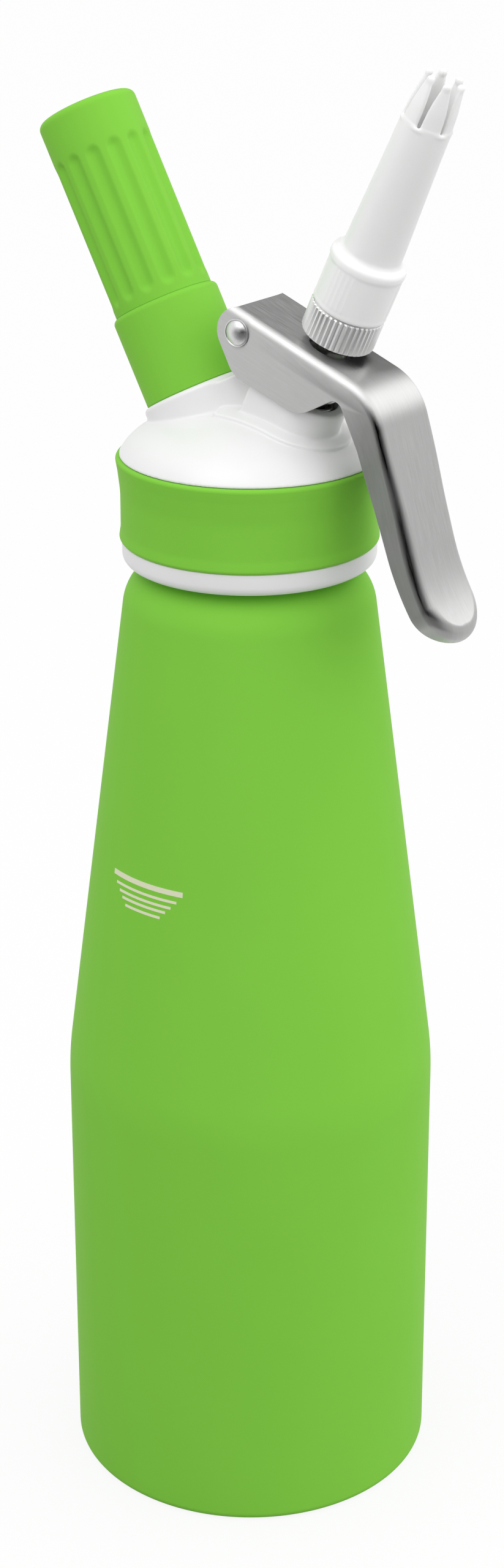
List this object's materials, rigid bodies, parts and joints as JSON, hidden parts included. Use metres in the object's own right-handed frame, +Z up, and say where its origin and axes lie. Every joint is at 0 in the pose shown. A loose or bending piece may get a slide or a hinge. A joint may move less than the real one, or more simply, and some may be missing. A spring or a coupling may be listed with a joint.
{
  "type": "whipped cream dispenser",
  "caption": "Pressure bottle with a screwed head, hinged side lever over a sprung valve, tulip decorating tip and a fluted gas charger holder.",
  "frame": {"origin": "centre of the bottle's flat base", "axes": "+Z up the bottle, +X towards the lever and nozzle, the charger holder leans to -X"},
  "size_m": [0.1255, 0.098, 0.3842],
  "materials": {
    "green_coat": "satin green coat",
    "green_rubber": "matt green",
    "white_plastic": "smooth white",
    "tip_plastic": "smooth white",
    "brushed_steel": "brushed",
    "bright_steel": "polished",
    "turned_aluminium": "turned",
    "charger_steel": "plain drawn",
    "seal_rubber": "white silicone",
    "black_rubber": "black"
  },
  "bodies": {
    "bottle": {"bottle": "green_coat"},
    "gasket": {"head_gasket": "seal_rubber"},
    "head": {"head_shell": "white_plastic", "head_collar": "green_rubber", "lever_pin": "bright_steel", "valve_guide": "bright_steel", "stem_o_ring": "black_rubber", "valve_spring": "bright_steel", "charger_stub": "turned_aluminium", "piercing_pin": "bright_steel", "charger_seal": "black_rubber", "check_valve": "black_rubber"},
    "lever": {"lever": "brushed_steel"},
    "valve": {"valve_stem": "bright_steel", "valve_seal": "black_rubber", "seal_nut": "bright_steel", "nozzle_adaptor": "bright_steel"},
    "tip": {"decorator_tip": "tip_plastic"},
    "charger": {"charger": "charger_steel"},
    "holder": {"holder_tube": "turned_aluminium", "holder_skirt": "green_rubber", "holder_grip": "green_rubber"}
  },
  "joints": [
    {"name": "head_lift", "type": "slide", "parent": "bottle", "child": "gasket", "axis": [0, 0, 1], "range_m": [0, 0.018]},
    {"name": "head_screw", "type": "hinge", "parent": "gasket", "child": "head", "pos_m": [0, 0, 0.27], "axis": [0, 0, 1], "range_deg": [0, 1080]},
    {"name": "lever_hinge", "type": "hinge", "parent": "head", "child": "lever", "pos_m": [0.0044, 0, 0.3188], "axis": [0, 1, 0], "range_deg": [0, 10], "stiffness_Nm_per_rad": 1.15, "springref_deg": -14.32},
    {"name": "valve_slide", "type": "slide", "parent": "head", "child": "valve", "axis": [-0.4131, 0, -0.9107], "range_m": [0, 0.0048], "deforming": ["valve_spring"]},
    {"name": "tip_lift", "type": "slide", "parent": "valve", "child": "tip", "axis": [0.4131, 0, 0.9107], "range_m": [0, 0.013]},
    {"name": "charger_lift", "type": "slide", "parent": "head", "child": "charger", "axis": [-0.4726, 0, 0.8813], "range_m": [0, 0.014]},
    {"name": "holder_screw", "type": "hinge", "parent": "charger", "child": "holder", "pos_m": [-0.0157, 0, 0.3], "axis": [-0.4726, 0, 0.8813], "range_deg": [0, 1440]}
  ],
  "couplings": [
    {"joint": "head_screw", "follows": "head_lift", "rad_per_m": 1047.2},
    {"joint": "valve_slide", "follows": "lever_hinge", "m_per_rad": 0.027},
    {"joint": "holder_screw", "follows": "charger_lift", "rad_per_m": 1795.2}
  ]
}
